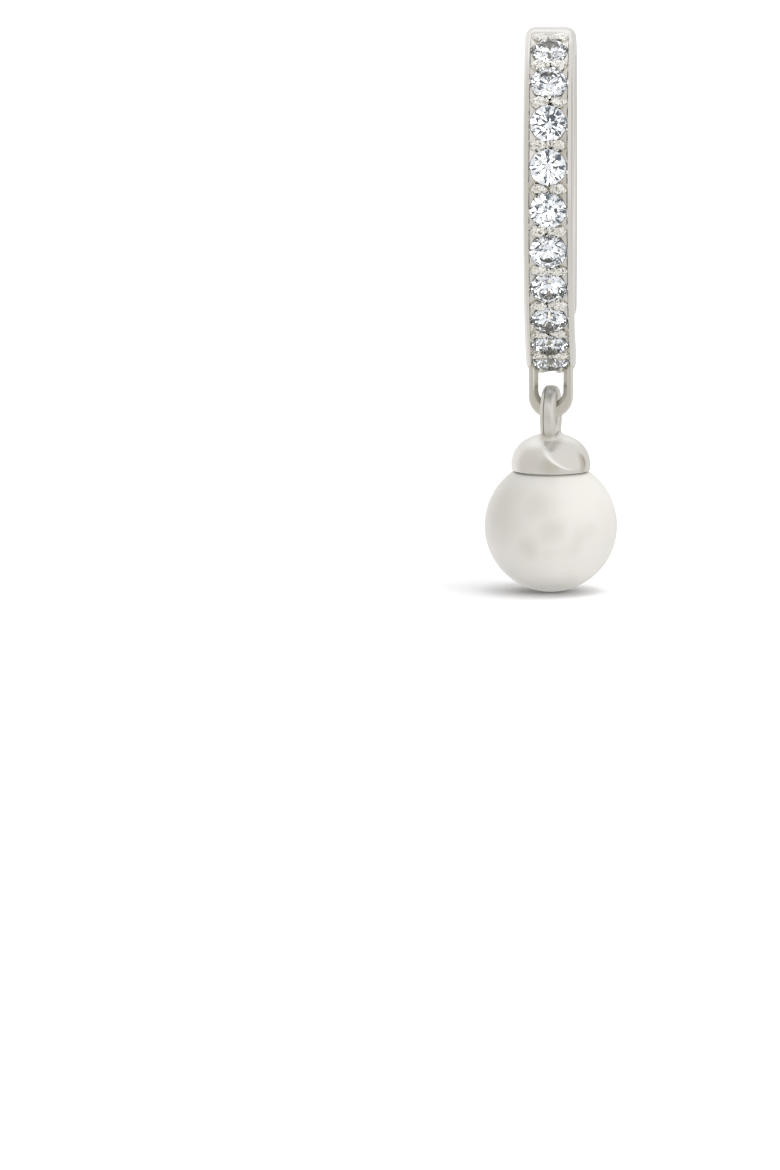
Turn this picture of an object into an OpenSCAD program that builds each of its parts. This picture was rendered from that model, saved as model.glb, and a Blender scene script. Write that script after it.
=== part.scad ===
// Hinged oval hoop earring with a row of round stones and a pearl drop.
// Millimetres, +Z up. The stones face -Y, +X is to the right of somebody who looks at them.
// The origin is the middle of the post, where the ear lobe carries the earring.

/* [Hoop] */
// Radius of the arch over the top of the hoop, outside
arch_r = 5.05; // [4.95:0.05:5.15]
// Radius of the long front curve, outside
front_r = 9.92; // [9.8:0.04:10.04]
// Radius of the bottom bend, outside
bottom_r = 2.9; // [2.8:0.05:3.0]
// Radius of the nearly straight back, outside
back_r = 22; // [21:0.5:23]
// Thickness of the front half
front_t = 1.2; // [1.15:0.01:1.25]
// Thickness of the back half
back_t = 1.1; // [1.05:0.01:1.15]
// Width of the front half
front_w = 2.24; // [2.2:0.01:2.3]
// Width of the back half
back_w = 2.16; // [2.1:0.02:2.2]
// Rounding of the outer edges
edge_r = 0.36; // [0.32:0.02:0.38]

/* [Stones] */
// Diameter of each round stone
stone_d = 1.65; // [1.6:0.01:1.68]
// Space between neighbouring stones along the curve
stone_space = 0.335; // [0.3:0.005:0.36]
// Radius of the small beads that hold the stones
bead_r = 0.31; // [0.29:0.01:0.32]
// Gap left around each stone
seat_gap = 0.025; // [0.02:0.005:0.03]

/* [Loop and bail] */
// Outer width of the loop under the hoop
loop_w = 2.0; // [1.9:0.02:2.06]
// Inner width of the loop
loop_in_w = 1.12; // [1.1:0.02:1.16]
// Depth of the loop from front to back
loop_t = 0.56; // [0.5:0.02:0.58]
// Outer diameter of the round bail
bail_d = 2.7; // [2.66:0.02:2.76]
// Diameter of the bail's wire
bail_wire = 0.7; // [0.66:0.01:0.71]
// Turn of the hanging drop about its own length
drop_turn = 7; // [0:1:8]

/* [Pearl and cap] */
// Diameter of the pearl
pearl_d = 6.0; // [5.95:0.01:6.05]
// Widest diameter of the cap
cap_d = 3.58; // [3.5:0.02:3.6]
// Diameter of the peg that holds the pearl
peg_d = 0.66; // [0.6:0.02:0.7]
// Length of the peg below the pearl's top
peg_len = 2.0; // [1.6:0.1:2.6]

/* [Post and hinge] */
// Diameter of the ear post
post_d = 0.8; // [0.7:0.05:0.85]
// Diameter of the hinge pin
pin_d = 0.6; // [0.5:0.05:0.65]
// Width of the back half's tongue in the hinge
tongue_w = 0.9; // [0.8:0.02:0.96]

/* [Hidden] */
$fn = 96;

metal_colour = "#d2cdc3";
stone_colour = "#eef2f6";
pearl_colour = "#ece8df";

// Length of a cut that passes right through, how far a cut reaches past a face, and a hair
// that keeps two faces from lying in one plane
through_len = 4;
cut_over = 0.5;
hair = 0.01;

// Hoop outline. Angles are measured from the front (-Y) towards the top (+Z),
// points are [forward, up] from the centre of the arch.
joint_a = 15;
pave_end_a = -71.5;
back_joint_a = 196;
front_c = (arch_r - front_r) * dir(joint_a);
bottom_c = front_c + (front_r - bottom_r) * dir(pave_end_a);
back_c = bottom_c + (bottom_r - back_r) * dir(back_joint_a);

// Hinge at the back of the bottom bend
hinge_a = -110;
hinge_p = bottom_c + (bottom_r - front_t / 2) * dir(hinge_a);
knuckle_r = front_t / 2 + 0.04;
knuckle_gap = 0.05;
tongue_gap = 0.03;
cheek_reach = 1.02;
pin_play = 0.03;
pin_seat_gap = 0.01;

// Upper ends of the two halves, and the post between them
front_end_a = 103;
front_end_p = (arch_r - front_t / 2) * dir(front_end_a);
head_a = 162.5;
head_p = back_c + (back_r - back_t / 2) * dir(head_a);
head_r = back_t / 2 + 0.05;
head_set_in = 0.12;
post_tilt = atan2(front_end_p[1] - head_p[1], front_end_p[0] - head_p[0]);
post_span = norm(front_end_p - head_p);
post_set_in = 1.1;
post_hole_play = 0.08;
post_seat_gap = 0.02;
post_tip_short = 0.05;
hole_past_tip = 0.15;
ear_p = front_end_p - (post_span - head_r) / 2 * dir(post_tilt);

// Pave row: stones stand at equal steps along the outer curve
stone_count = 10;
stone_step = stone_d + stone_space;
joint_stone = 2;
girdle_drop = 0.08;
channel_depth = 0.18;
channel_floor_w = 1.6;
channel_top_a = 77;
bead_side = 0.41;
bead_drop = 0.1;

// Turns of the outer rounding that the rails keep, and those that close it
rail_turns = [0, 20, 40, 60];
crown_turns = [75, 90];
inner_edge = 0.14;

// Stone proportions, as shares of its radius, and angles
table_share = 0.57;
star_share = 0.775;
lower_share = 0.2;
crown_a = 34.5;
pavilion_a = 41;
girdle_share = 0.06;
girdle_t = girdle_share * stone_d / 2;

// Seat under a stone: its gap grows towards the point, where the slope is steep
seat_point_gap = 1.4 * seat_gap;
seat_side_gap = 0.4 * seat_gap;

// Along the band each stretch laps into the next: the arch stands a hair proud of the front
// curve, the closed lip stands proud of the arch, and the plain bend is set in
joint_step = 0.01;
joint_lap_a = 3;
lip_step = 0.02;
lip_lap_a = 4;
bend_step = 0.05;
bend_lap_a = 5;

// Loop under the hoop
loop_f = -1.2;
loop_low = -12.77;
loop_bar_t = 0.69;
loop_chamfer = 0.08;
loop_arm_top = -10.1;

// Drop: the bail's centre is the axis it swings about
bail_c = [loop_f, -12.64];
bail_r = (bail_d - bail_wire) / 2;
cap_shoulder_r = 1.286;
cap_crown_a = 60;
cap_widest_up = -14.88;
cap_rim_up = -15.14;
pearl_up = -17.67;
pearl_gap = 0.03;
peg_gap = 0.03;
peg_hole_past = 0.2;
peg_root = 0.4;

// Outline of the back half from behind, and the neck where it narrows towards the hinge
outline_top_up = 6;
outline_low_up = -12;
outline_back = 12;
outline_depth = 16;
neck_w = 1.7;
neck_top_up = -8.2;
neck_overlap = 2;
neck_corner_r = 0.5;
neck_step = 0.06;
neck_lap_a = 6;

function dir(a) = [cos(a), sin(a)];

// Centre and angle of the row at a distance s below the joint of arch and front curve
function row_on_arch(s) = s < 0;
function row_c(s) = row_on_arch(s) ? [0, 0] : front_c;
function row_r(s) = row_on_arch(s) ? arch_r : front_r;
function row_a(s) = joint_a - s / row_r(s) * 180 / PI;

// Puts the children in the frame of the ear: origin in the middle of the post
module from_ear() {
    translate([0, ear_p[0], -ear_p[1]]) children();
}

// Moves the children to a [forward, up] point of the hoop's plane
module at(p) {
    translate([0, -p[0], p[1]]) children();
}

// Moves the children onto the outer curve, local +Z pointing outwards
module on_row(s, lift = 0) {
    at(row_c(s)) rotate([90 - row_a(s), 0, 0]) translate([0, 0, row_r(s) + lift]) children();
}

// Turns a flat section about the X axis through a point, from one angle to another
module sweep(c, a_from, a_to) {
    at(c) rotate([90, 0, -90]) rotate([0, 0, a_from]) rotate_extrude(angle = a_to - a_from) children();
}

// A rod along X, centred on a point
module rod(p, r, len) {
    at(p) rotate([0, 90, 0]) cylinder(r = r, h = len, center = true);
}

// Half of a band's section as [radius, width] points, for the outer radius r, thickness t and
// width w: softened inner edge, then the outer rounding at the given turns
function band_side(r, t, w, turns) = concat(
    [[r - t, w / 2 - inner_edge], [r - t + inner_edge, w / 2]],
    [for (a = turns) [r - edge_r * (1 - sin(a)), w / 2 - edge_r * (1 - cos(a))]]
);

function mirrored(side) = concat(
    side,
    [for (i = [len(side) - 1:-1:0]) [side[i][0], -side[i][1]]]
);

// Section of a band whose outer face is closed
module band_section(r, t, w) {
    polygon(mirrored(band_side(r, t, w, concat(rail_turns, crown_turns))));
}

// Section of the front band where the stones stand: two rails and a floor between them
module pave_section(r, t, w) {
    floor_side = [[r - channel_depth, channel_floor_w / 2]];
    polygon(mirrored(concat(band_side(r, t, w, rail_turns), floor_side)));
}

// Space that one stone and its gap take, with the seat under it
module stone_space_body() {
    r = stone_d / 2;
    table_r = table_share * r;
    crown_h = (r - table_r) * tan(crown_a);
    depth = girdle_t + r * tan(pavilion_a);
    rotate_extrude() polygon([
        [0, -depth - seat_point_gap],
        [r + seat_gap, -girdle_t - seat_side_gap],
        [r + seat_gap, seat_side_gap],
        [table_r + seat_gap, crown_h + seat_gap],
        [0, crown_h + seat_gap]
    ]);
}

// A round brilliant: table, stars, kites, girdle facets, mains and a point
module brilliant() {
    r = stone_d / 2;
    function ring(radius, count, turn, z) =
        [for (i = [0:count - 1]) [radius * cos(i * 360 / count + turn), radius * sin(i * 360 / count + turn), z]];
    half = 22.5;
    table_r = table_share * r;
    star_r = star_share * r;
    low_r = lower_share * r;
    crown_t = tan(crown_a);
    pavilion_t = tan(pavilion_a);
    points = concat(
        ring(table_r, 8, 0, (r - table_r) * crown_t),
        ring(star_r, 8, half, (r - star_r * cos(half)) * crown_t),
        ring(r, 16, 0, 0),
        ring(r, 16, 0, -girdle_t),
        ring(low_r, 8, half, -girdle_t - (r - low_r * cos(half)) * pavilion_t),
        [[0, 0, -girdle_t - r * pavilion_t]]
    );
    star_0 = 8;
    top_0 = 16;
    base_0 = 32;
    low_0 = 48;
    tip = 56;
    table = [[for (i = [7:-1:0]) i]];
    stars = [for (i = [0:7]) [i, (i + 1) % 8, star_0 + i]];
    kites = [for (i = [0:7]) [i, star_0 + i, top_0 + 2 * i, star_0 + (i + 7) % 8]];
    upper = [for (i = [0:7], side = [0, 1]) [star_0 + i, top_0 + (2 * i + 1 + side) % 16, top_0 + 2 * i + side]];
    girdle = [for (i = [0:15]) [top_0 + i, top_0 + (i + 1) % 16, base_0 + (i + 1) % 16, base_0 + i]];
    lower = [for (i = [0:7], side = [0, 1]) [low_0 + i, base_0 + 2 * i + side, base_0 + (2 * i + 1 + side) % 16]];
    mains = [for (i = [0:7]) [low_0 + i, tip, low_0 + (i + 7) % 8, base_0 + 2 * i]];
    polyhedron(points = points, faces = concat(table, stars, kites, upper, girdle, lower, mains));
}

module stone(k) {
    color(stone_colour) from_ear()
        on_row((k - 1 - joint_stone) * stone_step, -girdle_drop) brilliant();
}

// Front half: closed lip at the top, rails along the stones, plain bend down to the hinge
module front_band() {
    sweep([0, 0], channel_top_a, front_end_a)
        band_section(arch_r + lip_step, front_t + 2 * lip_step, front_w + 2 * lip_step);
    sweep([0, 0], joint_a - joint_lap_a, channel_top_a + lip_lap_a)
        pave_section(arch_r + joint_step, front_t + 2 * joint_step, front_w + 2 * joint_step);
    sweep(front_c, pave_end_a, joint_a) pave_section(front_r, front_t, front_w);
    sweep(bottom_c, hinge_a, pave_end_a + bend_lap_a)
        band_section(bottom_r - bend_step, front_t - 2 * bend_step, front_w - 2 * bend_step);
}

module beads() {
    for (k = [0:stone_count], side = [-1, 1]) {
        on_row((k - 0.5 - joint_stone) * stone_step, -bead_drop)
            translate([side * bead_side, 0, 0]) sphere(r = bead_r);
    }
}

// U-shaped loop, seen from the front: arms, round bottom and a thicker lower bar
module loop() {
    low_c = loop_low + loop_w / 2;
    in_r = loop_in_w / 2;
    in_c = loop_low + loop_bar_t + in_r;
    difference() {
        translate([0, -loop_f + loop_t / 2, 0]) rotate([90, 0, 0]) linear_extrude(height = loop_t) difference() {
            union() {
                translate([-loop_w / 2, low_c]) square([loop_w, loop_arm_top - low_c]);
                translate([0, low_c]) circle(r = loop_w / 2);
            }
            translate([-in_r, in_c]) square([loop_in_w, loop_arm_top - in_c + cut_over]);
            translate([0, in_c]) circle(r = in_r);
        }
        loop_edge(in_r, in_c);
    }
}

// Chamfer along the front and back edges of the loop's inside
module loop_edge(in_r, in_c) {
    for (side = [-1, 1]) {
        at([loop_f + side * loop_t / 2, in_c]) rotate([90, 0, 0])
            cylinder(r1 = in_r + (side > 0 ? 0 : 2) * loop_chamfer, r2 = in_r + (side > 0 ? 2 : 0) * loop_chamfer,
                h = 2 * loop_chamfer, center = true);
    }
}

module front_hoop() {
    color(metal_colour) from_ear() difference() {
        union() {
            front_band();
            beads();
            rod(hinge_p, knuckle_r, 2 * cheek_reach);
            loop();
        }
        for (k = [0:stone_count - 1]) {
            on_row((k - joint_stone) * stone_step, -girdle_drop) stone_space_body();
        }
        rod(hinge_p, knuckle_r + knuckle_gap, tongue_w + 2 * tongue_gap);
        rod(hinge_p, pin_d / 2 + pin_seat_gap, through_len);
        post_line(-post_set_in - post_seat_gap, cut_over, post_d / 2 + post_seat_gap);
    }
}

// A cylinder on the post's line, between two distances behind the front half's end
module post_line(from, to, r) {
    at(front_end_p) rotate([-90 - post_tilt, 0, 0]) translate([0, 0, from]) cylinder(r = r, h = to - from);
}

module ear_post() {
    color(metal_colour) from_ear() post_line(-post_set_in, post_span - post_tip_short, post_d / 2);
}

module back_hoop() {
    color(metal_colour) from_ear() difference() {
        intersection() {
            union() {
                sweep(back_c, head_a, back_joint_a) band_section(back_r, back_t, back_w);
                sweep(bottom_c, back_joint_a - neck_lap_a, 360 + hinge_a)
                    band_section(bottom_r - neck_step, back_t - 2 * neck_step, neck_w);
                rod(hinge_p, knuckle_r, neck_w);
                rod(head_p, head_r, back_w - 2 * head_set_in);
            }
            back_outline();
        }
        for (side = [-1, 1]) {
            translate([side * (tongue_w + through_len) / 2, 0, 0])
                rod(hinge_p, knuckle_r + knuckle_gap, through_len);
        }
        rod(hinge_p, pin_d / 2 + pin_play, through_len);
        post_line(post_span - head_r - cut_over, post_span + hole_past_tip, post_d / 2 + post_hole_play);
    }
}

// Outline of the back half from behind: full width, then a neck with rounded shoulders
module back_outline() {
    neck_h = neck_top_up - outline_low_up + neck_overlap;
    translate([0, outline_back, 0]) rotate([90, 0, 0]) linear_extrude(height = outline_depth) union() {
        translate([-back_w / 2, neck_top_up]) square([back_w, outline_top_up - neck_top_up]);
        translate([-back_w / 2 + neck_corner_r, neck_top_up - neck_corner_r])
            square([back_w - 2 * neck_corner_r, neck_overlap]);
        translate([-neck_w / 2 - hair, outline_low_up]) square([neck_w + 2 * hair, neck_h]);
        for (side = [-1, 1]) {
            translate([side * (back_w / 2 - neck_corner_r), neck_top_up]) circle(r = neck_corner_r);
        }
    }
}

module hinge_pin() {
    color(metal_colour) from_ear() rod(hinge_p, pin_d / 2, 2 * (cheek_reach + hair));
}

// The cap's solid of revolution about the drop's own line, before the pearl is cut away
module cap_dome() {
    shoulder_c = cap_d / 2 - cap_shoulder_r;
    crown_x = shoulder_c + cap_shoulder_r * cos(cap_crown_a);
    crown_z = cap_widest_up + cap_shoulder_r * sin(cap_crown_a);
    crown_r = crown_x / cos(cap_crown_a);
    crown_c = crown_z - crown_r * sin(cap_crown_a);
    rotate_extrude() intersection() {
        translate([0, cap_rim_up]) square([cap_d, cap_d]);
        union() {
            translate([shoulder_c, cap_widest_up]) circle(r = cap_shoulder_r);
            translate([0, cap_rim_up]) square([shoulder_c, crown_z - cap_rim_up]);
            intersection() {
                translate([0, crown_c]) circle(r = crown_r);
                translate([0, cap_widest_up]) square([crown_x, cap_d]);
            }
        }
    }
}

module pearl_cap() {
    color(metal_colour) from_ear() union() {
        difference() {
            at([loop_f, 0]) cap_dome();
            at([loop_f, pearl_up]) sphere(r = pearl_d / 2 + pearl_gap);
        }
        at(bail_c) rotate([0, 0, -drop_turn]) rotate([0, 90, 0]) rotate_extrude()
            translate([bail_r, 0]) circle(r = bail_wire / 2);
        at([loop_f, pearl_up + pearl_d / 2 - peg_len]) cylinder(r = peg_d / 2, h = peg_len + peg_root);
    }
}

module pearl() {
    hole_len = peg_len + peg_hole_past;
    color(pearl_colour) from_ear() difference() {
        at([loop_f, pearl_up]) sphere(r = pearl_d / 2);
        at([loop_f, pearl_up + pearl_d / 2 - hole_len])
            cylinder(r = peg_d / 2 + peg_gap, h = hole_len + cut_over);
    }
}

front_hoop();
back_hoop();
ear_post();
hinge_pin();
stone(1);  // stone_01
stone(2);  // stone_02
stone(3);  // stone_03
stone(4);  // stone_04
stone(5);  // stone_05
stone(6);  // stone_06
stone(7);  // stone_07
stone(8);  // stone_08
stone(9);  // stone_09
stone(10);  // stone_10
pearl_cap();
pearl();
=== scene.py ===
import logging
import math
from collections.abc import Callable, Sequence
from dataclasses import dataclass
from enum import Enum

import bmesh
import bpy
from mathutils import Matrix, Vector, noise


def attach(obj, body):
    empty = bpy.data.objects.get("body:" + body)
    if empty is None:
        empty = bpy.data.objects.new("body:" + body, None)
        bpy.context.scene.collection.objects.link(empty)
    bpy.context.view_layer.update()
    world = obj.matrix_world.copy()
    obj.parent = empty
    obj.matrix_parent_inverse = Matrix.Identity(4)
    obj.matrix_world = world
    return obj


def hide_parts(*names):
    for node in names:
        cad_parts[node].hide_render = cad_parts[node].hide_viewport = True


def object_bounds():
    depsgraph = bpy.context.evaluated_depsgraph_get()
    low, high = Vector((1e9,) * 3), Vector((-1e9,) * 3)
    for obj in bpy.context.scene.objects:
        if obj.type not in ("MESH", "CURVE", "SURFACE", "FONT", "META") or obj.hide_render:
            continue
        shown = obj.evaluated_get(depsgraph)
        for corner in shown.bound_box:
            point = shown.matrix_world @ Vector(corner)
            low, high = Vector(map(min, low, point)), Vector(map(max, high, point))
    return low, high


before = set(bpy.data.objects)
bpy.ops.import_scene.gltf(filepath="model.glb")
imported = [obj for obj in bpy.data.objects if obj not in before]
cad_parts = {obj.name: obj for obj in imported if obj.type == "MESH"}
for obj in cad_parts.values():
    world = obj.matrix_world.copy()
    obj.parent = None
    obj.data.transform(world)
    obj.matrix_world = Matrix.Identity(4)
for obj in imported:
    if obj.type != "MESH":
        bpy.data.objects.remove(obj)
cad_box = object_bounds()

# Pieces are built in millimetres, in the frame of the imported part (stones face -Y, +Z up), and
# turned into metres when they are done.
MM = 0.001

# Points nearer than this in millimetres are one point, such as those of a ring on a lathe's axis.
SAME_POINT = 1e-5

Point = tuple[float, float, float]
Flat = tuple[float, float]
Ring = list[Flat]

log = logging.getLogger("earring")


def linear(colour: str) -> tuple[float, float, float, float]:
    """Turns an sRGB hex colour into linear red, green, blue and alpha.

    Args:
        colour: the colour as "#rrggbb".

    Returns:
        The four linear values, alpha 1.
    """
    parts = [int(colour[i:i + 2], 16) / 255 for i in (1, 3, 5)]
    red, green, blue = (v / 12.92 if v <= 0.04045 else ((v + 0.055) / 1.055) ** 2.4 for v in parts)
    return red, green, blue, 1.0


def add_node(
    tree: bpy.types.NodeTree,
    kind: str,
    settings: dict | None = None,
    links: dict | None = None,
) -> bpy.types.Node:
    """Adds a node with its settings and links.

    Args:
        tree: the node tree that gets the node.
        kind: Blender's type name of the node.
        settings: values by property name, input name or input number.
        links: output sockets by the input name or number that they feed.

    Returns:
        The new node.
    """
    node = tree.nodes.new(kind)
    for name, value in (settings or {}).items():
        if isinstance(name, str) and hasattr(node, name):
            setattr(node, name, value)
        else:
            node.inputs[name].default_value = value
    for name, socket in (links or {}).items():
        tree.links.new(socket, node.inputs[name])
    return node


class Slot(Enum):
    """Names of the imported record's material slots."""

    HOOP = "hoop_metal"
    POST = "post_metal"
    CAP = "cap_metal"
    PEARL = "pearl"


class Join(Enum):
    """What becomes of two solids: Blender's names of the two ways to combine them."""

    SOLDER = "UNION"
    CARVE = "DIFFERENCE"


@dataclass(frozen=True)
class Finish:
    """What a real surface is: its name, main colour and roughness, and the nodes of its detail."""

    name: str
    colour: str
    roughness: float

    def material(self) -> bpy.types.Material:
        """Builds the material.

        Returns:
            The finished material.
        """
        material = bpy.data.materials.new(self.name)
        material.use_nodes = True
        tree = material.node_tree
        tree.nodes.clear()
        shader = add_node(tree, "ShaderNodeBsdfPrincipled", {
            "Base Color": linear(self.colour),
            "Roughness": self.roughness,
        })
        add_node(tree, "ShaderNodeOutputMaterial", links={"Surface": shader.outputs["BSDF"]})
        self.detail(tree, shader)
        return material

    def detail(self, tree: bpy.types.NodeTree, shader: bpy.types.Node) -> None:
        """Adds the nodes of the surface's detail; a plain finish has none."""

    def feed(self, tree: bpy.types.NodeTree, shader: bpy.types.Node, name: str,
             socket: bpy.types.NodeSocket) -> None:
        """Feeds a socket into one of the shader's inputs, in the place of what fed it before."""
        tree.links.new(socket, shader.inputs[name])

    def in_mm(self, tree: bpy.types.NodeTree, stretch: Point = (1, 1, 1)) -> bpy.types.NodeSocket:
        """Gives object coordinates in millimetres.

        Args:
            tree: the material's nodes.
            stretch: factors along X, Y and Z.

        Returns:
            The socket with the coordinates.
        """
        place = add_node(tree, "ShaderNodeTexCoord")
        scale = [s / MM for s in stretch]
        mapping = add_node(tree, "ShaderNodeMapping", {"Scale": scale}, {
            "Vector": place.outputs["Object"]})
        return mapping.outputs["Vector"]


@dataclass(frozen=True)
class BuffedSilver(Finish):
    """Cast sterling silver with a rhodium plate, buffed to a mirror.

    The eye gets a warm light grey that mirrors its surroundings softly, with faint waves left by
    the buffing wheel. Where ambient occlusion finds other surfaces close by, in corners, grooves
    and the stones' seats, its colour turns to a darker grey: that is painted shade. The wheel's
    waves have their real size, about a millimetre. Its lines are 0.005 to 0.01 mm wide on the real
    metal, too fine to show here, so they are drawn 0.05 mm wide or more.
    """

    # The colour of the painted shade in corners and grooves.
    shade: str = "#b0a994"
    wave_mm: float = 0.9
    wave_height_mm: float = 0.0035
    wave_detail: float = 1.0
    line_mm: float = 0.05
    line_height_mm: float = 0.0003
    line_detail: float = 2.0
    line_stretch: Point = (1.0, 0.15, 0.15)
    gloss_spread: Flat = (0.8, 1.25)
    painted_shade_mm: float = 0.25
    painted_shade_open: Flat = (0.2, 0.88)
    painted_shade_rays: int = 6

    def detail(self, tree: bpy.types.NodeTree, shader: bpy.types.Node) -> None:
        """Adds waves, polishing lines, uneven gloss and painted shade in the corners.

        Args:
            tree: the material's nodes.
            shader: its shader.
        """
        shader.inputs["Metallic"].default_value = 1.0
        wave = add_node(tree, "ShaderNodeTexNoise", {
            "Scale": 1 / self.wave_mm, "Detail": self.wave_detail}, {"Vector": self.in_mm(tree)})
        line = add_node(tree, "ShaderNodeTexNoise", {
            "Scale": 1 / self.line_mm, "Detail": self.line_detail}, {
            "Vector": self.in_mm(tree, self.line_stretch)})
        waved = add_node(tree, "ShaderNodeBump", {
            "Distance": self.wave_height_mm * MM, "Strength": 1.0}, {
            "Height": wave.outputs["Fac"]})
        lined = add_node(tree, "ShaderNodeBump", {
            "Distance": self.line_height_mm * MM, "Strength": 1.0}, {
            "Height": line.outputs["Fac"], "Normal": waved.outputs["Normal"]})
        self.feed(tree, shader, "Normal", lined.outputs["Normal"])
        smooth, dull = self.gloss_spread
        gloss = add_node(tree, "ShaderNodeMapRange", {
            "To Min": self.roughness * smooth, "To Max": self.roughness * dull}, {
            "Value": wave.outputs["Fac"]})
        self.feed(tree, shader, "Roughness", gloss.outputs["Result"])
        # Painted shade: the colour darkens towards the shade colour where ambient occlusion is low.
        corner = add_node(tree, "ShaderNodeAmbientOcclusion", {
            "samples": self.painted_shade_rays, "Distance": self.painted_shade_mm * MM})
        shut, clear = self.painted_shade_open
        open_share = add_node(tree, "ShaderNodeMapRange", {
            "From Min": shut, "From Max": clear}, {"Value": corner.outputs["AO"]})
        mixed = add_node(tree, "ShaderNodeMix", {
            "data_type": "RGBA", 6: linear(self.shade), 7: linear(self.colour)}, {
            0: open_share.outputs["Result"]})
        self.feed(tree, shader, "Base Color", mixed.outputs[2])


@dataclass(frozen=True)
class CapSilver(BuffedSilver):
    """The same silver on the cap: a mirror on its dome, duller on the ring over it.

    The buffing wheel can't get round the ring's wire, so the eye gets a soft grey there. The
    lines on the dome are 0.01 mm wide on the real one and are drawn 0.1 mm wide, so they show.
    """

    dome_top_mm: float = -17.6
    ring_roughness: float = 0.4
    fade_mm: float = 1.0

    def detail(self, tree: bpy.types.NodeTree, shader: bpy.types.Node) -> None:
        """Adds the buffed detail and the ring's duller gloss.

        Args:
            tree: the material's nodes.
            shader: its shader.
        """
        super().detail(tree, shader)
        gloss = shader.inputs["Roughness"].links[0].from_socket
        height = add_node(tree, "ShaderNodeSeparateXYZ", links={0: self.in_mm(tree)}).outputs["Z"]
        share = add_node(tree, "ShaderNodeMapRange", {
            "From Min": self.dome_top_mm - self.fade_mm, "From Max": self.dome_top_mm}, {
            "Value": height})
        mixed = add_node(tree, "ShaderNodeMix", {3: self.ring_roughness}, {
            0: share.outputs["Result"], 2: gloss})
        self.feed(tree, shader, "Roughness", mixed.outputs[0])


@dataclass(frozen=True)
class CutSilver(BuffedSilver):
    """Silver raised and cut with a graver between the stones.

    The eye gets bright facets, tiny steps and burrs with dark marks. The facets have their real
    size, 0.1 to 0.2 mm. The dark marks are partly the graver's nicks and partly painted dark
    reflections. The nicks are 0.02 to 0.04 mm wide on the real one, less than a pixel here, so
    they are drawn 0.085 mm wide.
    """

    wave_mm: float = 0.2
    wave_height_mm: float = 0.07
    painted_shade_mm: float = 0.07
    # The colour of the painted shade in the grains' crevices.
    shade: str = "#aaa598"
    nick_and_reflection: str = "#4a463d"
    nick_and_reflection_mm: float = 0.085
    nick_and_reflection_range: Flat = (0.58, 0.66)
    nick_and_reflection_share: float = 0.8

    def detail(self, tree: bpy.types.NodeTree, shader: bpy.types.Node) -> None:
        """Adds the buffed detail and the dark marks: the graver's nicks and painted dark
        reflections.

        Args:
            tree: the material's nodes.
            shader: its shader.
        """
        super().detail(tree, shader)
        colour = shader.inputs["Base Color"].links[0].from_socket
        # Dark marks from noise: partly the graver's nicks, partly painted dark reflections.
        marks = add_node(tree, "ShaderNodeTexNoise", {
            "Scale": 1 / self.nick_and_reflection_mm, "Detail": 1.0, "Roughness": 0.6}, {
            "Vector": self.in_mm(tree)})
        low, high = self.nick_and_reflection_range
        share = add_node(tree, "ShaderNodeMapRange", {
            "From Min": low, "From Max": high, "To Max": self.nick_and_reflection_share}, {
            "Value": marks.outputs["Fac"]})
        mixed = add_node(tree, "ShaderNodeMix", {"data_type": "RGBA", 7: linear(self.nick_and_reflection)}, {
            0: share.outputs["Result"], 6: colour})
        self.feed(tree, shader, "Base Color", mixed.outputs[2])


@dataclass(frozen=True)
class Zirconia(Finish):
    """Cubic zirconia, facet cut and polished.

    The eye gets a body as clear as water whose strong refraction flashes white and dark from
    facet to facet. Nothing is drawn on it: the facets are the solid's own.
    """

    index: float = 2.15

    def detail(self, tree: bpy.types.NodeTree, shader: bpy.types.Node) -> None:
        """Makes the surface clear."""
        shader.inputs["Transmission Weight"].default_value = 1.0
        shader.inputs["IOR"].default_value = self.index


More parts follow.
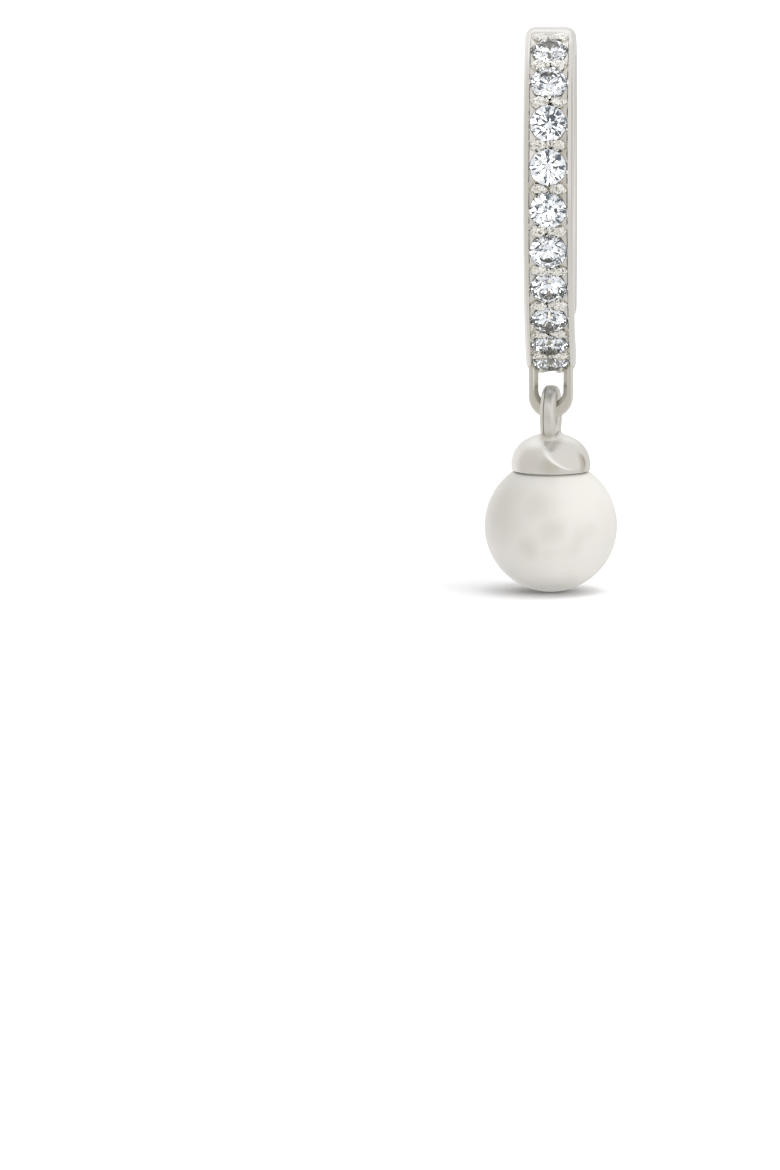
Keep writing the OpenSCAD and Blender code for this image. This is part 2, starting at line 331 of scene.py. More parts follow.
@dataclass(frozen=True)
class Nacre(Finish):
    """Cultured pearl: thin layers of nacre, grown and tumbled.

    The eye gets a satin ivory white with a soft broad highlight and faint cloudy patches about
    a millimetre wide, their real size. Some patches are the nacre's own clouds, and some are
    painted light: a broad painted shade on the left side and three small painted dark reflections
    on the front. The terraces of real nacre are 0.01 mm apart or less, too fine to show, so its
    skin is drawn with waves of 0.25 mm.
    """

    # One colour for the nacre's clouds, the painted shade and the painted dark reflections.
    cloud_shade_reflection: str = "#c2bfb3"
    middle_mm: Point = (0.0, -1.2907, -21.7813)
    # The first three spots are painted dark reflections on the front, the fourth is painted shade
    # on the left side, and the last three are clouds at the back.
    cloud_shade_reflection_spots_mm: tuple[tuple[Point, float], ...] = (
        ((-0.58, -2.68, 1.2), 1.15),
        ((0.08, -2.98, 0.24), 0.95),
        ((-1.05, -2.71, -0.74), 1.05),
        ((-2.1, -1.7, 0.9), 2.1),
        ((2.3, 1.6, 0.9), 1.1),
        ((-1.9, 2.1, -0.8), 1.2),
        ((0.6, 2.3, 1.8), 0.9),
    )
    cloud_shade_reflection_share: float = 0.5
    cloud_mm: float = 1.6
    cloud_range: Flat = (0.5, 0.85)
    cloud_share: float = 0.35
    wander_mm: float = 0.9
    skin_mm: float = 0.25
    skin_height_mm: float = 0.0012
    layers: tuple[tuple[str, float], ...] = (
        ("IOR", 1.53), ("Specular IOR Level", 0.5),
        ("Coat Weight", 0.6), ("Coat Roughness", 0.2), ("Coat IOR", 1.6),
        ("Sheen Weight", 0.06), ("Sheen Roughness", 0.4),
        ("Subsurface Weight", 0.1), ("Subsurface Scale", 0.4 * MM),
    )

    def clouds_shade_and_reflections(self, tree: bpy.types.NodeTree, spot: bpy.types.NodeSocket) -> bpy.types.NodeSocket:
        """Draws the clouds, the painted shade and the painted reflections: a broad noise, and the
        spots, whose outlines wander with it.

        Args:
            tree: the material's nodes.
            spot: the coordinates in millimetres.

        Returns:
            The socket with the share of clouds and painted light, 0 to 1.
        """
        clouds = add_node(tree, "ShaderNodeTexNoise", {
            "Scale": 1 / self.cloud_mm, "Detail": 1.5, "Roughness": 0.4}, {"Vector": spot})
        low, high = self.cloud_range
        share = add_node(tree, "ShaderNodeMapRange", {
            "interpolation_type": "SMOOTHSTEP", "From Min": low, "From Max": high,
            "To Max": self.cloud_share}, {"Value": clouds.outputs["Fac"]}).outputs["Result"]
        shifted = add_node(tree, "ShaderNodeVectorMath", {
            "operation": "MULTIPLY_ADD", 1: (self.wander_mm,) * 3}, {
            0: clouds.outputs["Color"], 2: spot})
        # Painted light: the front spots paint dark reflections, and the broad left one paints
        # shade.
        for place, reach in self.cloud_shade_reflection_spots_mm:
            centre = [m + p + self.wander_mm / 2 for m, p in zip(self.middle_mm, place)]
            away = add_node(tree, "ShaderNodeVectorMath", {"operation": "DISTANCE", 1: centre}, {
                0: shifted.outputs["Vector"]})
            near = add_node(tree, "ShaderNodeMapRange", {
                "interpolation_type": "SMOOTHSTEP", "From Min": 0.0, "From Max": reach,
                "To Min": self.cloud_shade_reflection_share, "To Max": 0.0}, {"Value": away.outputs["Value"]})
            share = add_node(tree, "ShaderNodeMath", {"operation": "MAXIMUM"}, {
                0: share, 1: near.outputs["Result"]}).outputs["Value"]
        return share

    def detail(self, tree: bpy.types.NodeTree, shader: bpy.types.Node) -> None:
        """Adds clouds with painted shade and reflections, a silky coat and a faint skin.

        Args:
            tree: the material's nodes.
            shader: its shader.
        """
        for name, value in self.layers:
            shader.inputs[name].default_value = value
        spot = self.in_mm(tree)
        with_clouds_and_painted_light = add_node(tree, "ShaderNodeMix", {
            "data_type": "RGBA", 6: linear(self.colour), 7: linear(self.cloud_shade_reflection)}, {
            0: self.clouds_shade_and_reflections(tree, spot)})
        self.feed(tree, shader, "Base Color", with_clouds_and_painted_light.outputs[2])
        skin = add_node(tree, "ShaderNodeTexNoise", {
            "Scale": 1 / self.skin_mm, "Detail": 2.0}, {"Vector": spot})
        bump = add_node(tree, "ShaderNodeBump", {
            "Distance": self.skin_height_mm * MM, "Strength": 1.0}, {
            "Height": skin.outputs["Fac"]})
        self.feed(tree, shader, "Normal", bump.outputs["Normal"])


# Cast sterling silver, rhodium plated and buffed: a warm bright mirror with faint waves.
HOOP_SILVER = BuffedSilver("rhodium_silver_buffed", "#e7e5e2", 0.2)
# The same silver tumbled among steel shot, not buffed: its reflections are a little softer.
LOOP_SILVER = BuffedSilver("rhodium_silver_tumbled", "#e2e0db", 0.22)
# The same silver buffed on a spindle: the clearest mirror, with fine lines round the dome.
CAP_SILVER = CapSilver(
    "rhodium_silver_mirror", "#e6e4e0", 0.15, wave_mm=1.3, line_mm=0.1, line_height_mm=0.0008,
    line_stretch=(0.15, 0.15, 1.0), painted_shade_mm=0.12)
# Silver wire drawn through a plate: a satin grey with fine lines along the post.
POST_SILVER = BuffedSilver("rhodium_silver_drawn", "#e2e0dc", 0.24, line_stretch=(1.0, 0.05, 1.0))
# Silver raised and cut bright with a graver: nearly white facets with sharp glints. The colour
# is whiter than the same silver on the hoop: painted light that brightens the grains.
GRAIN_SILVER = CutSilver("rhodium_silver_graver_cut", "#fbfaf7", 0.08)
# Cubic zirconia, facet cut and polished: clear as water, with white and dark flashes.
STONE_ZIRCONIA = Zirconia("cubic_zirconia_facet_polished", "#ffffff", 0.0)
# Tumbled nacre of a cultured pearl: satin ivory white with soft clouds,
# some of them painted shade and painted reflections.
PEARL_NACRE = Nacre("pearl_nacre", "#d9d6d0", 0.3)


def shaped(
    name: str,
    rings: Sequence[Sequence[Point]],
    capped: bool = True,
    joined: bool = False,
) -> bpy.types.Object:
    """Skins a row of equal closed rings into a solid.

    Args:
        name: name of the object.
        rings: rings of points in millimetres.
        capped: whether the first and last ring are closed with a face.
        joined: whether the last ring joins the first.

    Returns:
        The object, its mesh still in millimetres.
    """
    body = bmesh.new()
    made = [[body.verts.new(p) for p in ring] for ring in rings]
    count = len(made[0])
    pairs = list(zip(made, made[1:] + made[:1])) if joined else list(zip(made, made[1:]))
    for low, high in pairs:
        for i in range(count):
            j = (i + 1) % count
            body.faces.new((low[i], low[j], high[j], high[i]))
    if capped and not joined:
        body.faces.new(made[0][::-1])
        body.faces.new(made[-1])
    bmesh.ops.remove_doubles(body, verts=body.verts, dist=SAME_POINT)
    bmesh.ops.recalc_face_normals(body, faces=body.faces)
    mesh = bpy.data.meshes.new(name)
    body.to_mesh(mesh)
    body.free()
    thing = bpy.data.objects.new(name, mesh)
    bpy.context.scene.collection.objects.link(thing)
    return thing


def turned(
    name: str,
    profile: Sequence[Flat],
    place: Matrix,
    steps: int = 64,
    closed: bool = False,
) -> bpy.types.Object:
    """Turns a profile round its own axis, as on a lathe.

    Args:
        name: name of the object.
        profile: (radius, height) points; the first and last are on the axis unless it is closed.
        place: where the lathe's Z axis goes.
        steps: number of steps round the axis.
        closed: whether the profile is a loop, as for a tube.

    Returns:
        The object, its mesh still in millimetres.
    """
    rings = []
    for radius, height in profile:
        turns = [math.tau * i / steps for i in range(steps)]
        rings.append([
            place @ Vector((radius * math.cos(t), radius * math.sin(t), height)) for t in turns])
    return shaped(name, rings, capped=False, joined=closed)


def rounded(centre: Flat, radius: float, start: float, end: float, steps: int) -> list[Flat]:
    """Gives points on a circle's arc.

    Args:
        centre: centre of the circle.
        radius: its radius.
        start: first angle in degrees.
        end: last angle in degrees.
        steps: number of steps between them.

    Returns:
        The points, both ends among them.
    """
    turns = [math.radians(start + (end - start) * i / steps) for i in range(steps + 1)]
    return [(centre[0] + radius * math.cos(t), centre[1] + radius * math.sin(t)) for t in turns]


def joined_up(things: Sequence[bpy.types.Object]) -> bpy.types.Object:
    """Puts several objects' meshes into the first object.

    Args:
        things: objects with no transforms of their own.

    Returns:
        The first object.
    """
    body = bmesh.new()
    for thing in things:
        body.from_mesh(thing.data)
    body.to_mesh(things[0].data)
    body.free()
    for thing in things[1:]:
        bpy.data.objects.remove(thing)
    return things[0]


def baked(thing: bpy.types.Object) -> bpy.types.Object:
    """Applies an object's modifiers to its mesh.

    Args:
        thing: the object.

    Returns:
        The same object, without modifiers.
    """
    graph = bpy.context.evaluated_depsgraph_get()
    mesh = bpy.data.meshes.new_from_object(thing.evaluated_get(graph))
    thing.modifiers.clear()
    thing.data = mesh
    return thing


def combined(thing: bpy.types.Object, other: bpy.types.Object, way: Join) -> bpy.types.Object:
    """Combines two solids and removes the second.

    Args:
        thing: the solid that stays.
        other: the solid that is used up.
        way: what becomes of them.

    Returns:
        The solid that stays.
    """
    step = thing.modifiers.new("combined", "BOOLEAN")
    step.operation = way.value
    step.solver = "EXACT"
    step.object = other
    baked(thing)
    bpy.data.objects.remove(other)
    return thing


def carved(thing: bpy.types.Object, cutter: bpy.types.Object) -> bpy.types.Object:
    """Cuts a solid away from another and removes the cutter."""
    return combined(thing, cutter, Join.CARVE)


def soldered(thing: bpy.types.Object, other: bpy.types.Object) -> bpy.types.Object:
    """Makes one solid of two that touch."""
    return combined(thing, other, Join.SOLDER)


def softened(thing: bpy.types.Object, width: float, angle: float) -> bpy.types.Object:
    """Rounds a solid's sharp edges.

    Args:
        thing: the solid.
        width: width of the rounding in millimetres.
        angle: edges sharper than this many degrees are rounded.

    Returns:
        The same solid.
    """
    bevel = thing.modifiers.new("soft_edges", "BEVEL")
    bevel.width = width
    bevel.segments = 3
    bevel.limit_method = "ANGLE"
    bevel.angle_limit = math.radians(angle)
    return baked(thing)


def cleaned(thing: bpy.types.Object, weld: float = 3e-4, least: int = 40) -> bpy.types.Object:
    """Welds the double points that cutting leaves, and drops stray slivers.

    Args:
        thing: the solid.
        weld: points nearer than this in millimetres become one.
        least: a loose shell with fewer points than this is dropped.

    Returns:
        The same solid.
    """
    body = bmesh.new()
    body.from_mesh(thing.data)
    bmesh.ops.remove_doubles(body, verts=body.verts, dist=weld)
    bmesh.ops.dissolve_degenerate(body, dist=weld, edges=body.edges)
    seen: set[bmesh.types.BMVert] = set()
    stray: list[bmesh.types.BMVert] = []
    for first in body.verts:
        if first in seen:
            continue
        shell, waiting = [], [first]
        seen.add(first)
        while waiting:
            point = waiting.pop()
            shell.append(point)
            for edge in point.link_edges:
                other = edge.other_vert(point)
                if other not in seen:
                    seen.add(other)
                    waiting.append(other)
        if len(shell) < least:
            stray += shell
    bmesh.ops.delete(body, geom=stray, context="VERTS")
    bare = [edge for edge in body.edges if not edge.link_faces]
    bmesh.ops.delete(body, geom=bare, context="EDGES")
    body.to_mesh(thing.data)
    body.free()
    return thing


def finished(
    thing: bpy.types.Object,
    body: str,
    material: bpy.types.Material,
    replaces: Sequence[str] = (),
    crease: float = 35.0,
) -> bpy.types.Object:
    """Turns a solid from millimetres into metres, dresses it and lets it ride on its body.

    Args:
        thing: the solid in millimetres.
        body: the CAD body that it rides on.
        material: its material.
        replaces: CAD nodes that it stands for.
        crease: edges sharper than this many degrees stay sharp.

    Returns:
        The finished piece.
    """
    mesh = cleaned(thing).data
    mesh.transform(Matrix.Scale(MM, 4))
    mesh.shade_smooth()
    mesh.set_sharp_from_angle(angle=math.radians(crease))
    mesh.materials.clear()
    mesh.materials.append(material)
    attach(thing, body)
    if replaces:
        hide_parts(*replaces)
    log.info("%s: %d faces on body %s", thing.name, len(mesh.polygons), body)
    return thing


@dataclass(frozen=True)
class Arc:
    """An arc of the hoop's outer curve, seen from the side.

    Angles are measured at its centre in degrees, from the front (-Y) towards the top (+Z).
    """

    centre: Flat
    radius: float

    def point(self, angle: float, height: float = 0.0) -> Flat:
        """Gives a point at an angle.

        Args:
            angle: the angle in degrees.
            height: height over the arc in millimetres.

        Returns:
            The (y, z) point.
        """
        a = math.radians(angle)
        reach = self.radius + height
        return self.centre[0] - reach * math.cos(a), self.centre[1] + reach * math.sin(a)

    def next(self, angle: float, radius: float) -> "Arc":
        """Gives the arc of another radius that goes on smoothly from this one at an angle."""
        return Arc(self.point(angle, -radius), radius)

    def place(self, angle: float, height: float = 0.0) -> Matrix:
        """Gives a frame on the arc.

        Args:
            angle: the angle in degrees.
            height: height over the arc in millimetres.

        Returns:
            The frame: X across the band, Y along it, Z outwards.
        """
        a = math.radians(angle)
        y, z = self.point(angle, height)
        return Matrix((
            (1, 0, 0, 0),
            (0, math.sin(a), -math.cos(a), y),
            (0, math.cos(a), math.sin(a), z),
            (0, 0, 0, 1),
        ))


@dataclass(frozen=True)
class HoopOutline:
    """The oval that both halves follow, and the row of stones on it.

    Radii and stone sizes are in millimetres, and names that end in _a are angles in degrees.
    """

    arch: Arc = Arc((-2.4907, -4.1113), 5.05)
    front_r: float = 9.92
    bottom_r: float = 2.9
    back_r: float = 22.0
    joint_a: float = 15.0
    pave_end_a: float = -71.5
    back_joint_a: float = 196.0
    hinge_a: float = -110.0
    stone_d: float = 1.65
    stone_space: float = 0.335
    stone_count: int = 10
    joint_stone: int = 2

    @property
    def front(self) -> Arc:
        """The long front curve."""
        return self.arch.next(self.joint_a, self.front_r)

    @property
    def bottom(self) -> Arc:
        """The bend under the stones."""
        return self.front.next(self.pave_end_a, self.bottom_r)

    @property
    def back(self) -> Arc:
        """The nearly straight back."""
        return self.bottom.next(self.back_joint_a, self.back_r)

    def on_row(self, number: float, height: float) -> Matrix:
        """Gives the frame of a stone's place, or between two stones for half numbers.

        Args:
            number: 0 for the first stone at the top.
            height: height over the outer curve in millimetres.

        Returns:
            The frame, X across the band and Z outwards.
        """
        distance = (number - self.joint_stone) * (self.stone_d + self.stone_space)
        arc = self.arch if distance < 0 else self.front
        return arc.place(self.joint_a - math.degrees(distance / arc.radius), height)


@dataclass(frozen=True)
class BandSection:
    """Section across a band: soft inner edges, round outer edges, and a channel for the stones.

    Sizes are in millimetres. The outer edge turns by rail_turn degrees before the channel starts,
    and its radius is edge_share of the half width at most. The faces have points at face_shares
    and inner_share of the half width, and the side has one at side_share of its height. The rail
    falls to the channel through rail_fall, shares of the way in and down, and the floor's outer
    point is at floor_share of its depth.
    """

    thickness: float
    width: float
    edge_r: float = 0.34
    inner_r: float = 0.14
    channel_w: float = 1.66
    channel_rim: float = 0.078
    channel_depth: float = 0.17
    rail_turn: float = 72.0
    side_share: float = 0.6
    face_shares: Flat = (0.5, 0.3)
    inner_share: float = 0.35
    edge_share: float = 0.6
    rail_fall: Flat = (0.75, 0.45)
    floor_share: float = 0.85

    def ring(
        self,
        channel: float = 0.0,
        inset: float = 0.0,
        width: float | None = None,
        rounder: float = 0.0,
    ) -> Ring:
        """Gives the section as (x, height) points, height over the outer curve.

        Args:
            channel: 0 for a closed outer face, 1 for the full channel.
            inset: how far the whole section is drawn in.
            width: width of the band here, if it isn't the usual one.
            rounder: how much larger the outer edges' radius is here.

        Returns:
            The closed ring of points.
        """
        half = (width or self.width) / 2 - inset
        low = -self.thickness + inset
        top = -inset
        outer, inner = (half * share for share in self.face_shares)
        edge_r = min(self.edge_r + rounder, half * self.edge_share)
        side = [(half * self.inner_share, low)]
        side += rounded((half - self.inner_r, low + self.inner_r), self.inner_r, -90, 0, 4)
        side += [(half, low + (top - edge_r - low) * self.side_share)]
        side += rounded((half - edge_r, top - edge_r), edge_r, 0, self.rail_turn, 8)
        rim = self.channel_w / 2
        crest = rounded((half - edge_r, top - edge_r), edge_r, 80, 90, 1)
        crest += [(outer, top), (inner, top)]
        floor = [
            (rim + (side[-1][0] - rim) * self.rail_fall[0], -self.channel_rim * self.rail_fall[1]),
            (rim, -self.channel_rim),
            (outer, -self.channel_depth * self.floor_share),
            (inner, -self.channel_depth),
        ]
        side += [
            (a[0] + (b[0] - a[0]) * channel, a[1] + (b[1] - a[1]) * channel)
            for a, b in zip(crest, floor)
        ]
        return side + [(-x, height) for x, height in reversed(side)]


def swept(name: str, stations: Sequence[tuple[Arc, float, Ring]]) -> bpy.types.Object:
    """Sweeps sections along the hoop's outline.

    Args:
        name: name of the object.
        stations: arc, angle and section at each place.

    Returns:
        The object, its mesh still in millimetres.
    """
    return shaped(name, [
        [(x, *arc.point(angle, height)) for x, height in ring] for arc, angle, ring in stations])


def eased(value: float, start: float, end: float) -> float:
    """Rises smoothly from 0 at start to 1 at end."""
    share = min(max((value - start) / (end - start), 0.0), 1.0)
    return share * share * (3 - 2 * share)


def along_x(x: float, point: Flat) -> Matrix:
    """Gives the frame whose Z axis runs along X through a (y, z) point."""
    return Matrix.Translation((x, *point)) @ Matrix.Rotation(math.pi / 2, 4, "Y")


def along(way: Flat, point: Flat) -> Matrix:
    """Gives the frame whose Z axis runs a (y, z) way through a (y, z) point."""
    turn = Vector((0, *way)).to_track_quat("Z", "X").to_matrix().to_4x4()
    return Matrix.Translation((0, *point)) @ turn


@dataclass
class Hinge:
    """The hinge at the bottom: cheeks, tongue and the room between them, in millimetres.

    The eyes are made with a bore of first_bore times the pin's radius and drilled to size later.
    The drill and the cutters reach through to each side. The pin's dome bends at dome_bend and is
    flat from dome_flat inwards, shares of its radius and height.
    """

    outline: HoopOutline
    thickness: float = 1.2
    eye_r: float = 0.64
    clearance: float = 0.05
    tongue_w: float = 0.9
    tongue_gap: float = 0.03
    cheek_reach: float = 1.02
    pin_r: float = 0.3
    bore_gap: float = 0.01
    lap: float = 0.03
    edge: float = 0.07
    lathe_steps: int = 64
    first_bore: float = 0.9
    through: float = 2.0
    dome: float = 0.06
    dome_bend: Flat = (0.9, 0.35)
    dome_flat: float = 0.6
    pin_spare: float = 0.01

    @property
    def centre(self) -> Flat:
        """The (y, z) point that the back half turns about."""
        return self.outline.bottom.point(self.outline.hinge_a, -self.thickness / 2)

    def eye(self, name: str, low: float, high: float, bore: float) -> bpy.types.Object:
        """Makes a round eye with a bore and soft edges.

        Args:
            name: name of the object.
            low: where it starts along X.
            high: where it ends along X.
            bore: radius of its bore.

        Returns:
            The eye, its mesh in millimetres.
        """
        edge_r = self.eye_r - self.edge
        profile = [(bore, high), (bore, low)]
        profile += rounded((edge_r, low + self.edge), self.edge, -90, 0, 4)
        profile += rounded((edge_r, high - self.edge), self.edge, 0, 90, 4)
        return turned(name, profile, along_x(0, self.centre), self.lathe_steps, closed=True)

    def room(self, low: float, high: float, radius: float) -> bpy.types.Object:
        """Makes the round room that is cut away between two places along X.

        Args:
            low: where it starts along X.
            high: where it ends along X.
            radius: its radius.

        Returns:
            The room, its mesh in millimetres.
        """
        profile = [(0, low), (radius, low), (radius, high), (0, high)]
        return turned("room", profile, along_x(0, self.centre), self.lathe_steps)

    def cheeks(self) -> list[bpy.types.Object]:
        """Makes the front half's cheeks, whose bores are drilled out later.

        Returns:
            The left and the right cheek.
        """
        inner = self.tongue_w / 2 + self.tongue_gap - self.lap
        bore = self.pin_r * self.first_bore
        return [
            self.eye("cheek_left", -self.cheek_reach, -inner, bore),
            self.eye("cheek_right", inner, self.cheek_reach, bore),
        ]

    def pin(self, material: bpy.types.Material) -> bpy.types.Object:
        """Makes the hinge pin with domed ends.

        Args:
            material: its material.

        Returns:
            The finished pin.
        """
        reach = self.cheek_reach + self.pin_spare
        out, up = self.dome_bend
        end = [
            (self.pin_r, reach - self.dome), (self.pin_r * out, reach - self.dome * up),
            (self.pin_r * self.dome_flat, reach), (0, reach),
        ]
        profile = [(r, -h) for r, h in reversed(end)] + end
        pin = turned("hinge_pin_domed", profile, along_x(0, self.centre), 40)
        return finished(pin, "front", material, ["hinge_pin"])


@dataclass
class FrontHalf:
    """The half with the stones: lip, rails, bend, cheeks and grains.

    Sizes are in millimetres, names that end in _a are angles in degrees, and names that end in
    _share are shares of the stones' radius. A ridge is a narrow grain in the middle of the row,
    given by its place in the row and its distance from the row's middle. No two grains swell
    alike, because each takes the noise at its own seed.
    """

    outline: HoopOutline
    hinge: Hinge
    section: BandSection = BandSection(1.2, 2.24)
    top_a: float = 103.0
    channel_top_a: float = 81.5
    top_rounder: float = 0.12
    channel_end_ease: float = 4.0
    lip_step: float = 0.02
    bend_step: float = 0.05
    end_soft: float = 0.06
    end_soft_a: float = 70.0
    girdle_drop: float = 0.08
    seat_gap: float = 0.01
    table_share: float = 0.57
    crown_a: float = 34.5
    pavilion_a: float = 41.0
    girdle_share: float = 0.06
    grain_side: float = 0.43
    grain_drop: float = 0.13
    grain_radii: Point = (0.40, 0.28, 0.26)
    grain_steps: tuple[int, int] = (12, 28)
    grain_swell: float = 0.3
    grain_noise: float = 1.7
    grain_seed: Point = (3.1, 12.1, 1.3)
    grain_gap: float = 0.6
    grain_flat: Flat = (0.86, 0.3)
    top_grain: float = -0.6
    ridge_radii: Point = (0.13, 0.235, 0.2)
    ridges: tuple[tuple[float, float], ...] = (
        (0.5, -0.05), (1.5, -0.08), (2.5, -0.02), (4.5, 0.06), (5.5, 0.0), (6.5, 0.04),
        (8.5, -0.02))
    rounder_from_a: Flat = (66.0, 90.0)
    bend_ease: float = 8.0

    def row(
        self,
        arc: Arc,
        start: float,
        end: float,
        step: float,
        inset: Callable[[float], float],
        channel: Callable[[float], float],
    ) -> list[tuple[Arc, float, Ring]]:
        """Gives the sections along a stretch of an arc.

        Args:
            arc: the arc.
            start: first angle in degrees.
            end: the angle where the next stretch starts.
            step: about how many degrees are from section to section.
            inset: gives how far the section is drawn in at an angle.
            channel: gives the channel's share at an angle.

        Returns:
            Arc, angle and section at each place.
        """
        count = max(2, round(abs(end - start) / step))
        rows = []
        for i in range(count):
            angle = start + (end - start) * i / count
            at_top = eased(angle, *self.rounder_from_a) if arc == self.outline.arch else 0.0
            section = self.section.ring(
                channel(angle), inset(angle), rounder=self.top_rounder * at_top)
            rows.append((arc, angle, section))
        return rows

    def stations(self) -> list[tuple[Arc, float, Ring]]:
        """Gives the sections from the top end to the hinge.

        Returns:
            Arc, angle and section at each place.
        """
        line, ease, top = self.outline, self.channel_end_ease, self.channel_top_a
        low = line.pave_end_a

        def level(angle: float) -> float:
            """Draws nothing in."""
            return 0.0

        def lip(angle: float) -> float:
            """Raises the lip over the channel's upper end."""
            return -self.lip_step * eased(angle, top - ease, top + ease)

        def bend(angle: float) -> float:
            """Draws the bend in behind the last stone."""
            return self.bend_step * (1 - eased(angle, low - self.bend_ease, low))

        def shut(angle: float) -> float:
            """Leaves the outer face closed."""
            return 0.0

        def opening(angle: float) -> float:
            """Lets the channel begin under the lip."""
            return 1 - eased(angle, top - ease, top)

        def full(angle: float) -> float:
            """Cuts the whole channel."""
            return 1.0

        def closing(angle: float) -> float:
            """Lets the channel end at the bend."""
            return eased(angle, low, low + ease)

        return [
            *self.row(line.arch, self.top_a, top, 2.0, lip, shut),
            *self.row(line.arch, top, top - ease, 0.5, lip, opening),
            *self.row(line.arch, top - ease, line.joint_a, 1.5, level, full),
            *self.row(line.front, line.joint_a, low + ease, 1.0, level, full),
            *self.row(line.front, low + ease, low, 0.4, level, closing),
            *self.row(line.bottom, low, line.hinge_a, 2.0, bend, shut),
        ]

    def stone_rooms(self, gap: float) -> bpy.types.Object:
        """Makes the rooms of all the stones and of the gap around them.

        Args:
            gap: gap left round each stone in millimetres.

        Returns:
            One object with a room for each stone.
        """
        radius = self.outline.stone_d / 2
        table = self.table_share * radius
        crown = (radius - table) * math.tan(math.radians(self.crown_a))
        girdle = self.girdle_share * radius
        depth = girdle + radius * math.tan(math.radians(self.pavilion_a))
        # The gap is deeper at the point and lower at the girdle, so the slopes have it in full.
        at_point, at_girdle = 1.4 * gap, 0.4 * gap
        profile = [
            (0, -depth - at_point), (radius + gap, -girdle - at_girdle),
            (radius + gap, at_girdle), (table + gap, crown + gap), (0, crown + gap),
        ]
        return joined_up([
            turned(f"room_{k}", profile, self.outline.on_row(k, -self.girdle_drop), 48)
            for k in range(self.outline.stone_count)
        ])

    def band(self, material: bpy.types.Material) -> bpy.types.Object:
        """Makes the band with its seats and cheeks.

        Args:
            material: its material.

        Returns:
            The finished band.
        """
        hinge = self.hinge
        band = softened(swept("front_band", self.stations()), self.end_soft, self.end_soft_a)
        for cheek in hinge.cheeks():
            soldered(band, cheek)
        carved(band, self.stone_rooms(self.seat_gap))
        inner = hinge.tongue_w / 2 + hinge.tongue_gap
        carved(band, hinge.room(-inner, inner, hinge.eye_r + hinge.clearance))
        carved(band, hinge.room(-hinge.through, hinge.through, hinge.pin_r + hinge.bore_gap))
        return finished(band, "front", material, ["front_hoop"], crease=30.0)

    def grain(self, number: float, x: float, radii: Point) -> bpy.types.Object:
        """Makes one raised grain: a lobe of metal, worn a little flat, no two quite alike.

        Args:
            number: place in the row of stones, a half number.
            x: its middle, right of the row's middle, in millimetres.
            radii: its radii across the band, along it and upwards.

        Returns:
            The grain, its mesh in millimetres.
        """
        place = self.outline.on_row(number, -self.grain_drop)
        along_row, across, base = self.grain_seed
        seed = Vector((number * along_row, x * across, base))
        rx, ry, rz = radii
        worn, left = rz * self.grain_flat[0], self.grain_flat[1]
        up_steps, round_steps = self.grain_steps
        rings = []
        for i in range(up_steps + 1):
            up = math.pi * (i / up_steps - 0.5)
            ring = []
            for k in range(round_steps):
                turn = math.tau * k / round_steps
                out = math.cos(up)
                unit = Vector((out * math.cos(turn), out * math.sin(turn), math.sin(up)))
                swell = 1 + self.grain_swell * noise.noise(unit * self.grain_noise + seed)
                height = unit.z * rz * swell
                height = min(height, worn + left * (height - worn))
                spot = Vector((x + unit.x * rx * swell, unit.y * ry * swell, height))
                ring.append(place @ spot)
            rings.append(ring)
        return shaped(f"grain_{number}_{x}", rings, capped=False)

    def grains(self, material: bpy.types.Material) -> bpy.types.Object:
        """Makes all the grains that hold the stones, cut back to the stones' edges.

        The left lobes, the right lobes and the ridges are united one after another, so that
        neither side of a step overlaps itself, and the stones' rooms are cut once at the end.

        Args:
            material: their material.

        Returns:
            The finished grains, one object.
        """
        numbers = [self.top_grain] + [k + 0.5 for k in range(self.outline.stone_count)]
        left, right = (
            joined_up([
                self.grain(number, side * self.grain_side, self.grain_radii) for number in numbers])
            for side in (-1, 1)
        )
        ridges = joined_up([self.grain(number, x, self.ridge_radii) for number, x in self.ridges])
        lobes = soldered(soldered(left, right), ridges)
        grains = carved(lobes, self.stone_rooms(self.seat_gap * self.grain_gap))
        grains.name = "stone_grains"
        return finished(grains, "front", material, crease=40.0)


